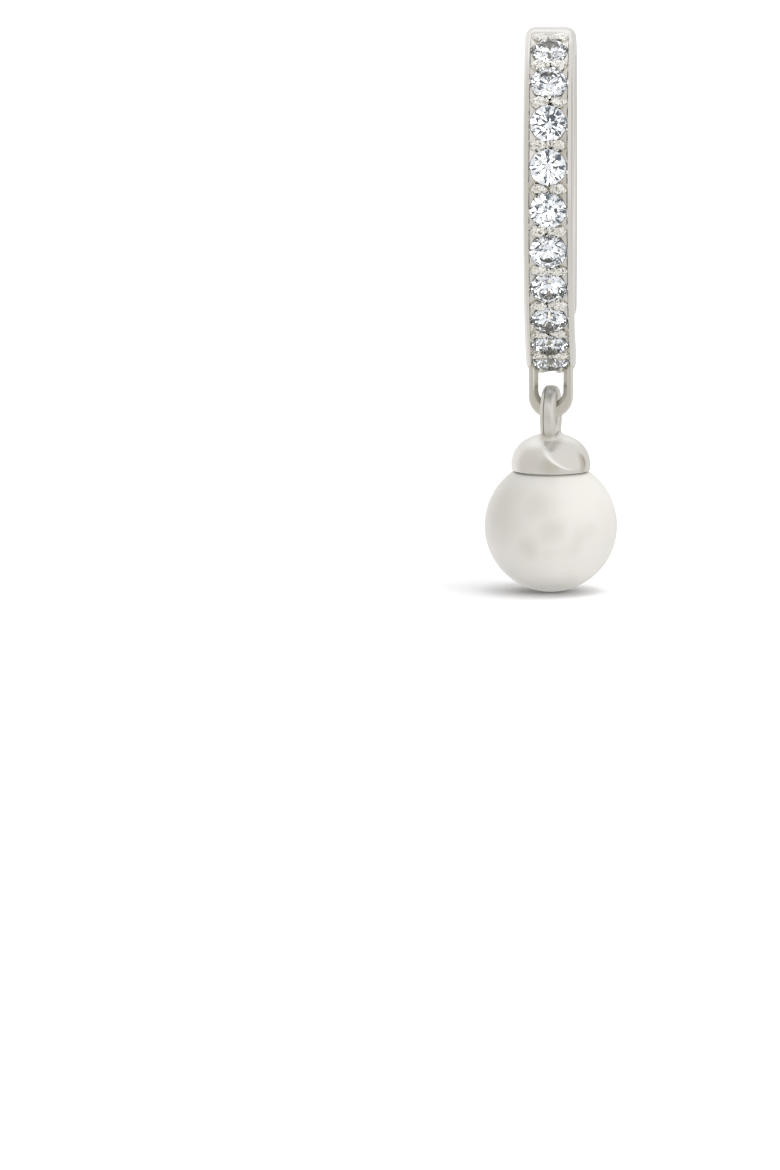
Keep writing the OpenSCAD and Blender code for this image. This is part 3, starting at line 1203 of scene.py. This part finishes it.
@dataclass
class DropLoop:
    """The flat U-shaped loop soldered under the hoop, which the drop hangs in.

    Sizes are in millimetres. The facet inside the loop is facet_w wide across the arm and facet_d
    deep, with soft ends, and the bail ring swings clear of it.
    """

    y: float = -1.2907
    top: float = -14.2113
    outer_r: float = 1.0
    outer_z: float = -15.8813
    inner_r: float = 0.56
    inner_z: float = -15.6313
    depth: float = 0.56
    facet_w: float = 0.22
    facet_d: float = 0.22
    facet_soft: float = 0.12
    corner_r: float = 0.12
    arm_steps: int = 8
    bend_steps: int = 40

    def section(self, width: float) -> Ring:
        """Gives the section across an arm, with a facet inside and round corners outside.

        Args:
            width: the arm's width there.

        Returns:
            The closed ring of (distance from the inside, y) points.
        """
        half = self.depth / 2
        soft, wide, deep = self.facet_soft, self.facet_w, self.facet_d
        side = [
            (0, half - deep * (1 + soft)), (wide * soft, half - deep * (1 - soft)),
            (wide * (1 - soft), half - deep * soft), (wide * (1 + soft), half),
        ]
        side += rounded((width - self.corner_r, half - self.corner_r), self.corner_r, 90, 0, 8)
        return side + [(u, -y) for u, y in reversed(side)]

    def side_line(self, radius: float, centre_z: float) -> list[Flat]:
        """Gives the loop's inner or outer line: down one arm, round the bend, up the other.

        Args:
            radius: radius of the bend.
            centre_z: height of the bend's centre.

        Returns:
            The (x, z) points.
        """
        arm = [
            (-radius, self.top + (centre_z - self.top) * i / self.arm_steps)
            for i in range(self.arm_steps + 1)
        ]
        bend = rounded((0, centre_z), radius, 180, 360, self.bend_steps)[1:-1]
        return arm + bend + [(-x, z) for x, z in reversed(arm)]

    def piece(self, material: bpy.types.Material) -> bpy.types.Object:
        """Makes the loop.

        Args:
            material: its material.

        Returns:
            The finished loop.
        """
        inside = self.side_line(self.inner_r, self.inner_z)
        outside = self.side_line(self.outer_r, self.outer_z)
        rings = []
        for near, far in zip(inside, outside):
            run = Vector(far) - Vector(near)
            unit = run.normalized()
            rings.append([
                (near[0] + unit.x * u, self.y + y, near[1] + unit.y * u)
                for u, y in self.section(run.length)
            ])
        return finished(shaped("drop_loop", rings), "front", material, crease=14.0)


@dataclass
class BackHalf:
    """The plain half behind the ear, from the head that takes the post down to the tongue.

    Sizes are in millimetres, and names that end in _a are angles in degrees.
    """

    outline: HoopOutline
    hinge: Hinge
    section: BandSection = BandSection(1.1, 2.16, edge_r=0.34, inner_r=0.18)
    head_a: float = 162.5
    head_r: float = 0.6
    head_w: float = 1.92
    head_edge: float = 0.2
    neck_w: float = 1.7
    shoulder_z: float = -12.3113
    shoulder_r: float = 0.5
    back_steps: int = 90
    bottom_steps: int = 36
    post_way: Flat = (0.98884, -0.14915)
    post_room_r: float = 0.48
    post_room_reach: Flat = (-1.1, 0.15)
    bore_gap: float = 0.03

    def width_at(self, z: float) -> float:
        """Gives the band's width: full, then a rounded shoulder, then the neck.

        Args:
            z: height of the band's middle there.

        Returns:
            The width in millimetres.
        """
        half, neck = self.section.width / 2, self.neck_w / 2
        down = max(self.shoulder_z - z, 0.0)
        if down >= self.shoulder_r:
            return 2 * neck
        return 2 * max(neck, half - self.shoulder_r + math.sqrt(self.shoulder_r**2 - down**2))

    def stations(self) -> list[tuple[Arc, float, Ring]]:
        """Gives the sections from the head to the tongue.

        Returns:
            Arc, angle and section at each place.
        """
        line = self.outline
        rows = []
        for arc, start, end, count in (
            (line.back, self.head_a, line.back_joint_a, self.back_steps),
            (line.bottom, line.back_joint_a, 360 + line.hinge_a, self.bottom_steps),
        ):
            for i in range(count):
                angle = start + (end - start) * i / count
                middle = arc.point(angle, -self.section.thickness / 2)
                section = self.section.ring(width=self.width_at(middle[1]))
                rows.append((arc, angle, section))
        return rows

    def head_middle(self) -> Flat:
        """Gives the (y, z) point in the middle of the head."""
        return self.outline.back.point(self.head_a, -self.section.thickness / 2)

    def head(self) -> bpy.types.Object:
        """Makes the round head at the upper end.

        Returns:
            The head, its mesh in millimetres.
        """
        half, edge = self.head_w / 2, self.head_edge
        side = rounded((self.head_r - edge, half - edge), edge, 0, 90, 6) + [(0, half)]
        profile = [(r, -x) for r, x in reversed(side)] + side
        return turned("head", profile, along_x(0, self.head_middle()))

    def piece(self, material: bpy.types.Material) -> bpy.types.Object:
        """Makes the back half with the post's room, the head and the tongue.

        The head goes on first and everything is cut afterwards, so that no cut face lies in
        another one.

        Args:
            material: its material.

        Returns:
            The finished half.
        """
        hinge = self.hinge
        band = soldered(swept("back_band", self.stations()), self.head())
        half = hinge.tongue_w / 2
        bore, through = hinge.pin_r * hinge.first_bore, hinge.through
        soldered(band, hinge.eye("tongue", -half - hinge.lap, half + hinge.lap, bore))
        for low, high in ((-half - through, -half), (half, half + through)):
            carved(band, hinge.room(low, high, hinge.eye_r + hinge.clearance))
        low, high = self.post_room_reach
        room = [(0, low), (self.post_room_r, low), (self.post_room_r, high), (0, high)]
        carved(band, turned("post_room", room, along(self.post_way, self.head_middle()), 48))
        carved(band, hinge.room(-through, through, hinge.pin_r + self.bore_gap))
        return finished(band, "back", material, ["back_hoop"], crease=32.0)


@dataclass
class EarPost:
    """The straight post that goes through the ear, soldered to the front half's end.

    Sizes are in millimetres, and start and end are measured along the post from its foot.
    """

    foot: Flat = (-1.4897, 0.2247)
    way: Flat = (0.98884, -0.14915)
    radius: float = 0.4
    start: float = -1.0
    end: float = 3.563
    tip_r: float = 0.22

    def piece(self, material: bpy.types.Material) -> bpy.types.Object:
        """Makes the post with its rounded tip.

        Args:
            material: its material.

        Returns:
            The finished post.
        """
        tip = rounded((self.radius - self.tip_r, self.end - self.tip_r), self.tip_r, 0, 90, 6)
        profile = [
            (0, self.start), (self.radius, self.start), (self.radius, self.end / 2),
            *tip, (0, self.end),
        ]
        post = turned("ear_post_round", profile, along(self.way, self.foot), 40)
        return finished(post, "front", material, ["ear_post"])


@dataclass
class Drop:
    """What swings: bail ring, domed cap with its peg, and the pearl.

    Sizes are in millimetres. The wire's section is a rounded square, the more square the larger
    wire_square is, and turn is the ring's turn about the drop's axis in degrees. The line that
    the pliers leave lies between the three seam_turns, degrees round the wire. The shoulder goes
    rim_share of its way round to the rim, and profile_steps are the steps along the cap's crown,
    shoulder, edge and seat. The solder ends solder_lap inside the wire. The pearl's skin, all
    that is past skin_share of its radius, grows in by growth with a noise of growth_noise per
    millimetre.
    """

    y: float = -1.2907
    ring_z: float = -16.7513
    ring_r: float = 1.0
    wire_r: float = 0.35
    wire_square: float = 3.0
    solder: float = 0.24
    solder_lap: float = 0.004
    solder_least: float = 1e-4
    turn: float = 7.0
    cap_r: float = 1.79
    shoulder_r: float = 1.286
    crown_a: float = 60.0
    widest_z: float = -18.9913
    rim_z: float = -19.2513
    rim_edge: float = 0.045
    rim_share: float = 0.75
    pearl_z: float = -21.7813
    pearl_r: float = 3.0
    pearl_gap: float = 0.03
    peg_r: float = 0.33
    peg_len: float = 2.0
    peg_edge: float = 0.06
    hole_gap: float = 0.03
    hole_spare: float = 0.2
    ring_steps: tuple[int, int] = (96, 32)
    seam_turns: Point = (104.5, 107.5, 110.8)
    seam_depth: float = 0.035
    cap_steps: int = 176
    profile_steps: tuple[int, int, int, int] = (48, 26, 4, 16)
    solder_steps: int = 30
    pearl_steps: tuple[int, int] = (110, 160)
    growth: float = 0.0015
    growth_noise: float = 0.55
    skin_share: float = 0.98

    def ring(self) -> bpy.types.Object:
        """Makes the bail ring, its wire a little squared by the pliers, with their fine line.

        Returns:
            The ring, its mesh in millimetres.
        """
        spin = self.ring_place()
        power = 2 / self.wire_square
        round_steps, wire_steps = self.ring_steps
        even = [360 * k / wire_steps for k in range(wire_steps)]
        around_wire = sorted(even + list(self.seam_turns))
        rings = []
        for i in range(round_steps):
            turn = math.tau * i / round_steps
            out = Vector((0, math.cos(turn), math.sin(turn)))
            ring = []
            for around in around_wire:
                c, s = math.cos(math.radians(around)), math.sin(math.radians(around))
                wide = math.copysign(abs(c) ** power, c) * self.wire_r
                deep = math.copysign(abs(s) ** power, s) * self.wire_r
                deep -= self.seam_depth if around == self.seam_turns[1] else 0.0
                ring.append(spin @ (out * (self.ring_r + deep) + Vector((wide, 0, 0))))
            rings.append(ring)
        return shaped("bail_ring", rings, joined=True)

    def ring_place(self) -> Matrix:
        """Gives the frame of the ring: its wire runs in the frame's YZ plane."""
        spin = Matrix.Rotation(math.radians(-self.turn), 4, "Z")
        return Matrix.Translation((0, self.y, self.ring_z)) @ spin

    def fill_corner(self, cap: bpy.types.Object) -> None:
        """Raises the dome's skin in a hollow curve up to the ring's wire, as solder does.

        Args:
            cap: the cap, its mesh in millimetres.
        """
        back = self.ring_place().inverted()
        middle = Vector((0, self.y, self.crown()[0]))
        power, size, steps = self.wire_square, self.solder, self.solder_steps

        def from_wire(spot: Vector) -> float:
            """Measures how far a place is outside the ring's wire.

            Args:
                spot: the place.

            Returns:
                The distance in millimetres, below zero inside the wire.
            """
            across, y, z = back @ spot
            deep = abs(math.hypot(y, z) - self.ring_r)
            return (deep**power + abs(across) ** power) ** (1 / power) - self.wire_r

        def over_skin(rise: float, away: float) -> float:
            """Measures how far a place is over the hollow curve between dome and wire."""
            return min(rise, away) - max(size - abs(rise - away), 0.0) ** 2 / (4 * size)

        for vertex in cap.data.vertices:
            spot = vertex.co.copy()
            away = from_wire(spot)
            if spot.z < self.widest_z or away > size:
                continue
            up = (spot - middle).normalized()
            rise = 0.0
            for i in range(1, steps + 1):
                tried = size * i / steps
                away_there = from_wire(spot + up * tried)
                filled = away > 0 and over_skin(rise, away) >= 0
                leaves_wire = away <= 0 and away_there > -self.solder_lap
                if filled or leaves_wire:
                    break
                rise = tried
                if away > 0:
                    away = max(away_there, self.solder_least)
            vertex.co = spot + up * rise

    def crown(self) -> Flat:
        """Works out the dome's crown, which goes on smoothly from its shoulder.

        Returns:
            The height of the crown's centre, and its radius.
        """
        turn = math.radians(self.crown_a)
        crown_x = self.cap_r - self.shoulder_r + self.shoulder_r * math.cos(turn)
        crown_z = self.widest_z + self.shoulder_r * math.sin(turn)
        crown_r = crown_x / math.cos(turn)
        return crown_z - crown_r * math.sin(turn), crown_r

    def cap_profile(self) -> list[Flat]:
        """Gives the cap's profile from the top of its dome to the tip of its peg.

        Returns:
            The (radius, height) points.
        """
        shoulder = (self.cap_r - self.shoulder_r, self.widest_z)
        crown_c, crown_r = self.crown()
        rim_sine = (self.widest_z - self.rim_z) / self.shoulder_r
        rim_turn = -self.rim_share * math.degrees(math.asin(rim_sine))
        seat_r = self.pearl_r + self.pearl_gap
        rim_in = math.sqrt(seat_r**2 - (self.rim_z - self.pearl_z) ** 2)
        on_crown, on_shoulder, on_edge, on_seat = self.profile_steps
        profile = rounded((0.0, crown_c), crown_r, 90, self.crown_a, on_crown)[:-1]
        profile += rounded(shoulder, self.shoulder_r, self.crown_a, rim_turn, on_shoulder)
        edge = self.rim_edge
        corner = (profile[-1][0] - edge, self.rim_z + edge)
        profile += rounded(corner, edge, 0, -90, on_edge)[1:]
        start = math.degrees(math.acos(rim_in / seat_r))
        end = math.degrees(math.acos(self.peg_r / seat_r))
        profile += rounded((0, self.pearl_z), seat_r, start, end, on_seat)
        tip_z = self.pearl_z + self.pearl_r - self.peg_len
        profile += [
            (self.peg_r, tip_z + self.peg_edge), (self.peg_r - self.peg_edge, tip_z), (0, tip_z)]
        return profile

    def metal(self, material: bpy.types.Material) -> bpy.types.Object:
        """Makes the cap and its ring.

        Args:
            material: their material.

        Returns:
            The finished cap and ring, one solid.
        """
        place = Matrix.Translation((0, self.y, 0))
        cap = turned("cap_and_ring", self.cap_profile(), place, self.cap_steps)
        self.fill_corner(cap)
        soldered(cap, self.ring())
        return finished(cap, "drop", material, ["pearl_cap"], crease=45.0)

    def pearl(self, material: bpy.types.Material) -> bpy.types.Object:
        """Makes the pearl, round but grown, with its drilled hole.

        Args:
            material: its material.

        Returns:
            The finished pearl.
        """
        hole = self.peg_r + self.hole_gap
        start = math.degrees(math.acos(hole / self.pearl_r))
        bottom = self.pearl_z + self.pearl_r - self.peg_len - self.hole_spare
        profile = [(0, bottom), (hole, bottom)]
        profile += rounded((0, self.pearl_z), self.pearl_r, start, -90, self.pearl_steps[0])
        place = Matrix.Translation((0, self.y, 0))
        pearl = turned("pearl_round", profile, place, self.pearl_steps[1])
        middle = Vector((0, self.y, self.pearl_z))
        for vertex in pearl.data.vertices:
            out = vertex.co - middle
            if out.length > self.pearl_r * self.skin_share:
                uneven = 1 + noise.noise(out * self.growth_noise)
                vertex.co = middle + out * (1 - self.growth * uneven)
        return finished(pearl, "drop", material, ["pearl"], crease=60.0)


@dataclass(frozen=True)
class Card:
    """A soft patch in the tent around the object, light or dark.

    Its colour times its strength is what the metal mirrors there. The inner and outer sizes are
    degrees from its middle, and a tall card is stretched up and down.
    """

    towards: Point
    inner: float
    outer: float
    colour: str
    strength: float
    tall: float = 1.0


@dataclass(frozen=True)
class SoftBox:
    """A square soft box: its place from the object's middle and its side in metres, its watts."""

    name: str
    place: Point
    side: float
    power: float


@dataclass
class Studio:
    """White tent, soft boxes, pale floor and the camera at the photograph's angle.

    Lengths are in millimetres, or in metres where the name ends in _m, and angles in degrees. The
    anchor is a point on the band's front, and anchor_pixel is where it falls in the picture. The
    flecks' radii go from the first to the second fleck_outer in fleck_sizes steps, taken out of
    order, and each one is soft from fleck_inner_share of its radius outwards. One fleck in every
    bright_every is bright.
    """

    lowest_z: float
    floor_gap: float = 0.005
    floor_half_m: float = 4.0
    floor_white: str = "#fafafb"
    tent: str = "#e5e4e0"
    diffuse_tent: str = "#acacad"
    camera_tent: str = "#ffffff"
    ceiling: Card = Card((0.12, 0.0, 1.0), 30, 60, "#ffffff", 1.36)
    cards: tuple[Card, ...] = (
        Card((0.0, 0.55, 0.85), 20, 50, "#ffffff", 1.15),
        Card((-0.7, 0.7, 0.0), 15, 50, "#fbf9f7", 1.0),
        Card((-0.93, -0.35, 0.0), 5, 60, "#dfdcd8", 1.0),
        Card((0.0, -1.0, 0.1), 4, 46, "#d8d5cd", 0.95),
        Card((0.66, -0.26, 0.70), 56, 59, "#ffffff", 1.25),
        Card((0.72, -0.16, 0.68), 53, 58, "#f0efec", 1.0),
        Card((0.94, 0.36, 0.05), 5, 18, "#d6d1c7", 0.95, 2.0),
        Card((0.88, 0.47, 0.14), 1, 5, "#bdb5a6", 0.78, 4.5),
    )
    sparkle_tent: str = "#f1f6fc"
    sparkle_strength: float = 1.05
    lens_card: Card = Card((0.05, -1.0, 0.12), 17, 24, "#2c4862", 0.7)
    fleck_count: int = 38
    fleck_spread: float = 1.15
    fleck_turn_start: int = 3
    fleck_outer: Flat = (4.0, 8.0)
    fleck_sizes: int = 10
    fleck_size_step: int = 7
    fleck_inner_share: float = 0.75
    bright_every: int = 6
    bright_first: int = 2
    bright_fleck: tuple[str, float] = ("#ffffff", 3.2)
    dark_flecks: tuple[str, ...] = ("#2a4258", "#4c5e72", "#414349")
    dark_strength: float = 0.75
    boxes: tuple[SoftBox, ...] = (
        SoftBox("top_box", (0.12, -0.05, 0.6), 0.3, 1.4),
        SoftBox("key_box", (0.55, -0.42, 0.28), 0.3, 0.95),
        SoftBox("low_box", (-0.1, -0.7, -0.01), 0.3, 1.05),
    )
    pixels: tuple[int, int] = (780, 1170)
    pixels_per_mm: float = 22.17
    anchor: Point = (0.0, -1.29, -11.912)
    anchor_pixel: Flat = (551.0, 308.5)
    distance_mm: float = 1000.0
    elevation: float = 7.0
    azimuth: float = 1.3
    sensor_mm: float = 36.0
    clip_m: Flat = (0.01, 50.0)

    def patched(
        self,
        tree: bpy.types.NodeTree,
        base: bpy.types.NodeSocket,
        way: bpy.types.NodeSocket,
        cards: Sequence[Card],
    ) -> bpy.types.NodeSocket:
        """Lays cards over a base colour of the tent.

        Args:
            tree: the world's nodes.
            base: the colour under the cards.
            way: the direction that a ray goes.
            cards: the cards, later ones on top.

        Returns:
            The socket with the colour.
        """
        for card in cards:
            squeeze = Vector((1, 1, 1 / card.tall))
            towards = (Vector(card.towards) * squeeze).normalized()
            seen = way
            if card.tall != 1:
                low = add_node(tree, "ShaderNodeVectorMath", {
                    "operation": "MULTIPLY", 1: squeeze}, {0: way})
                unit = add_node(tree, "ShaderNodeVectorMath", {"operation": "NORMALIZE"}, {
                    0: low.outputs["Vector"]})
                seen = unit.outputs["Vector"]
            near = add_node(tree, "ShaderNodeVectorMath", {
                "operation": "DOT_PRODUCT", 1: towards}, {0: seen})
            share = add_node(tree, "ShaderNodeMapRange", {
                "interpolation_type": "SMOOTHSTEP",
                "From Min": math.cos(math.radians(card.outer)),
                "From Max": math.cos(math.radians(card.inner))}, {
                "Value": near.outputs["Value"]})
            colour = [c * card.strength for c in linear(card.colour)[:3]] + [1.0]
            mixed = add_node(tree, "ShaderNodeMix", {"data_type": "RGBA", 7: colour}, {
                0: share.outputs["Result"], 6: base})
            base = mixed.outputs[2]
        return base

    def plain(
        self,
        tree: bpy.types.NodeTree,
        colour: str,
        strength: float = 1.0,
    ) -> bpy.types.NodeSocket:
        """Gives one colour of the tent.

        Args:
            tree: the world's nodes.
            colour: the colour as "#rrggbb".
            strength: how many times as bright it shines.

        Returns:
            The socket with the colour.
        """
        node = add_node(tree, "ShaderNodeRGB")
        node.outputs[0].default_value = [c * strength for c in linear(colour)[:3]] + [1.0]
        return node.outputs[0]

    def flecks(self) -> list[Card]:
        """Gives the small dark and bright things of a studio that the stones catch.

        Returns:
            The lens's dark round, and flecks spread evenly over the front and the top.
        """
        cards = [self.lens_card]
        # Turned by this angle from one to the next, the flecks lie evenly, like seeds in a flower.
        golden = math.pi * (3 - math.sqrt(5))
        low, high = self.fleck_outer
        for k in range(self.fleck_count):
            forward = 1 - self.fleck_spread * (k + 0.5) / self.fleck_count
            side = math.sqrt(1 - forward * forward)
            turn = golden * (k + self.fleck_turn_start)
            towards = (side * math.cos(turn), -forward, side * math.sin(turn))
            size = k * self.fleck_size_step % self.fleck_sizes
            outer = low + (high - low) * size / (self.fleck_sizes - 1)
            colour, strength = self.dark_flecks[k % len(self.dark_flecks)], self.dark_strength
            if k % self.bright_every == self.bright_first:
                colour, strength = self.bright_fleck
            cards.append(Card(towards, outer * self.fleck_inner_share, outer, colour, strength))
        return cards

    def light(self) -> None:
        """Sets the tent, which metal, stones and matt things see differently, and the soft boxes.

        The metal mirrors the tent's grey and its cards, matt things are lit by its plainer grey,
        a ray that has been through a stone meets the flecks, and the camera sees plain white.
        """
        world = bpy.data.worlds.new("tent")
        bpy.context.scene.world = world
        world.use_nodes = True
        tree = world.node_tree
        tree.nodes.clear()
        way = add_node(tree, "ShaderNodeTexCoord").outputs["Generated"]
        ray = add_node(tree, "ShaderNodeLightPath")
        through = add_node(tree, "ShaderNodeMath", {"operation": "GREATER_THAN", 1: 0.5}, {
            0: ray.outputs["Transmission Depth"]})
        colour = self.patched(tree, self.plain(tree, self.tent), way, self.cards)
        matt = self.patched(tree, self.plain(tree, self.diffuse_tent), way, [self.ceiling])
        clear = self.plain(tree, self.sparkle_tent, self.sparkle_strength)
        sparkling = self.patched(tree, clear, way, self.flecks())
        for share, other in (
            (ray.outputs["Is Diffuse Ray"], matt),
            (through.outputs["Value"], sparkling),
            (ray.outputs["Is Camera Ray"], self.plain(tree, self.camera_tent)),
        ):
            mixed = add_node(tree, "ShaderNodeMix", {"data_type": "RGBA"}, {
                0: share, 6: colour, 7: other})
            colour = mixed.outputs[2]
        background = add_node(tree, "ShaderNodeBackground", links={"Color": colour})
        add_node(tree, "ShaderNodeOutputWorld", links={
            "Surface": background.outputs["Background"]})
        for box in self.boxes:
            self.hang(box)

    def hang(self, soft_box: SoftBox) -> None:
        """Hangs a soft box, aimed at the object's middle. The metal doesn't mirror it.

        Args:
            soft_box: its name, place, side and power.
        """
        lamp = bpy.data.lights.new(soft_box.name, "AREA")
        lamp.energy = soft_box.power
        lamp.size = soft_box.side
        box = bpy.data.objects.new(soft_box.name, lamp)
        place = Vector(soft_box.place)
        box.location = Vector(self.anchor) * MM + place
        box.rotation_euler = (-place).to_track_quat("-Z", "Y").to_euler()
        box.visible_glossy = False
        bpy.context.scene.collection.objects.link(box)

    def floor(self) -> None:
        """Lays the floor: a smooth sheet of white paper, right under the pearl.

        The metal mirrors the tent through it, so that no horizon line crosses the small parts.
        """
        half, height = self.floor_half_m, (self.lowest_z - self.floor_gap) * MM
        mesh = bpy.data.meshes.new("paper_floor")
        corners = [(-half, -half), (half, -half), (half, half), (-half, half)]
        mesh.from_pydata([(x, y, height) for x, y in corners], [], [(0, 1, 2, 3)])
        # Matt white paper: even and without gloss, so that the shadow lies soft on it.
        paper = bpy.data.materials.new("matt_white_paper")
        paper.use_nodes = True
        tree = paper.node_tree
        tree.nodes.clear()
        sheet = add_node(tree, "ShaderNodeBsdfDiffuse", {"Color": linear(self.floor_white)})
        clear = add_node(tree, "ShaderNodeBsdfTransparent")
        ray = add_node(tree, "ShaderNodeLightPath")
        mixed = add_node(tree, "ShaderNodeMixShader", links={
            0: ray.outputs["Is Glossy Ray"], 1: sheet.outputs["BSDF"], 2: clear.outputs["BSDF"]})
        add_node(tree, "ShaderNodeOutputMaterial", links={"Surface": mixed.outputs["Shader"]})
        mesh.materials.append(paper)
        floor = bpy.data.objects.new("paper_floor", mesh)
        bpy.context.scene.collection.objects.link(floor)

    def camera(self) -> None:
        """Sets the camera so that the object has the photograph's angle, place and scale."""
        width, height = self.pixels
        focal_px = self.pixels_per_mm * self.distance_mm
        right = (self.anchor_pixel[0] - width / 2) / focal_px
        up = (height / 2 - self.anchor_pixel[1]) / focal_px
        pitch = math.radians(90 - self.elevation) - math.atan(up)
        yaw = math.radians(self.azimuth) + math.atan(right)
        turn = Matrix.Rotation(yaw, 4, "Z") @ Matrix.Rotation(pitch, 4, "X")
        ray = turn @ Vector((right, up, -1.0))
        lens = bpy.data.cameras.new("camera")
        lens.sensor_width = self.sensor_mm
        lens.lens = focal_px * self.sensor_mm / height
        lens.clip_start, lens.clip_end = self.clip_m
        camera = bpy.data.objects.new("camera", lens)
        place = (Vector(self.anchor) - ray * self.distance_mm) * MM
        camera.matrix_world = Matrix.Translation(place) @ turn
        bpy.context.scene.collection.objects.link(camera)
        bpy.context.scene.camera = camera
        bpy.context.scene.view_settings.view_transform = "Standard"


def dress_stones(material: bpy.types.Material) -> None:
    """Gives the CAD stones, whose facets are right, their clear material.

    Args:
        material: the stones' material.
    """
    for name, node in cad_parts.items():
        if name.startswith("stone_"):
            for slot in node.material_slots:
                slot.material = material
            log.info("%s: dressed", name)


def main() -> None:
    """Builds the pieces in order, then the studio."""
    logging.basicConfig(level=logging.INFO, format="%(message)s")
    outline = HoopOutline()
    hinge = Hinge(outline)
    hoop_silver = HOOP_SILVER.material()
    post_silver = POST_SILVER.material()
    front = FrontHalf(outline, hinge)
    front.band(hoop_silver)
    front.grains(GRAIN_SILVER.material())
    DropLoop().piece(LOOP_SILVER.material())
    BackHalf(outline, hinge).piece(hoop_silver)
    hinge.pin(post_silver)
    EarPost().piece(post_silver)
    drop = Drop()
    drop.metal(CAP_SILVER.material())
    drop.pearl(PEARL_NACRE.material())
    dress_stones(STONE_ZIRCONIA.material())
    studio = Studio(lowest_z=cad_box[0][2] / MM)
    studio.light()
    studio.floor()
    studio.camera()


if __name__ == "__main__":
    main()
